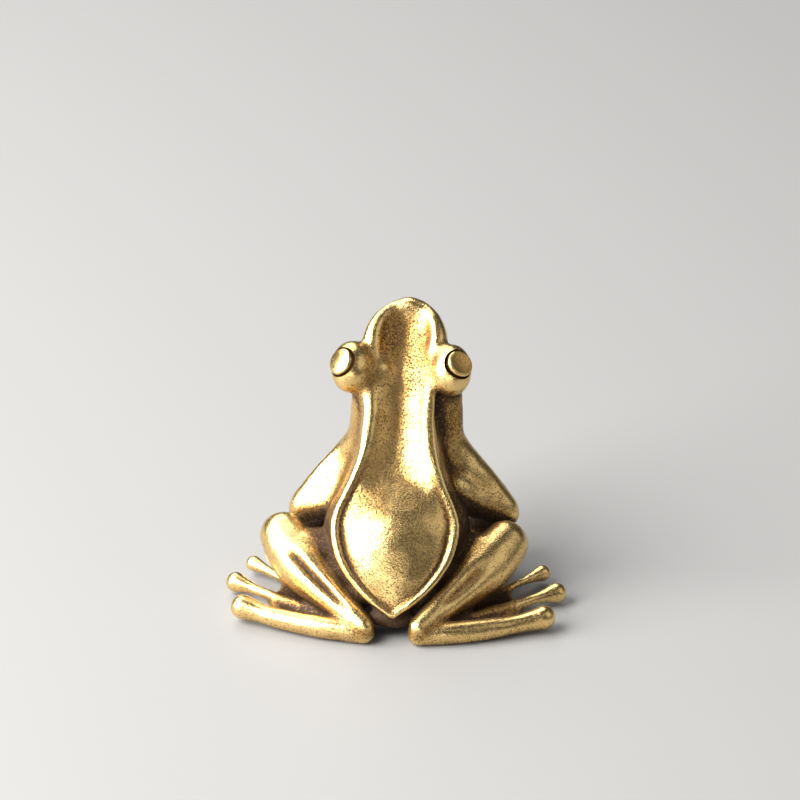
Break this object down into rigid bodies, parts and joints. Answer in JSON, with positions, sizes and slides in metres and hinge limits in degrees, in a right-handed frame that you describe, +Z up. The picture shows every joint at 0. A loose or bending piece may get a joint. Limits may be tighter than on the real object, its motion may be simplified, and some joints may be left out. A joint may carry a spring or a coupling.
{
  "type": "frog figurine",
  "caption": "Seated solid brass frog tea pet that looks up, with a ridged back, a domed rump, set disc eyes, folded hind legs and splayed webbed feet.",
  "frame": {"origin": "on the table, under the middle of the frog's box", "axes": "+Y the way the frog faces, +X to its right side, +Z up"},
  "size_m": [0.0308, 0.0218, 0.025],
  "materials": {
    "body_brass": "cast and hand polished, bright on the raised fold and dome, dark patina in the hollows",
    "eye_brass": "polished dished disc with a dark ring round it",
    "limb_brass": "cast brass with a fine grain, worn bright on its crests and dark in its grooves"
  },
  "bodies": {
    "root": {"body": "body_brass", "right_eye": "eye_brass", "left_eye": "eye_brass", "right_foreleg": "limb_brass", "left_foreleg": "limb_brass", "right_hind_leg": "limb_brass", "left_hind_leg": "limb_brass", "right_hind_foot": "limb_brass", "left_hind_foot": "limb_brass"}
  },
  "joints": []
}
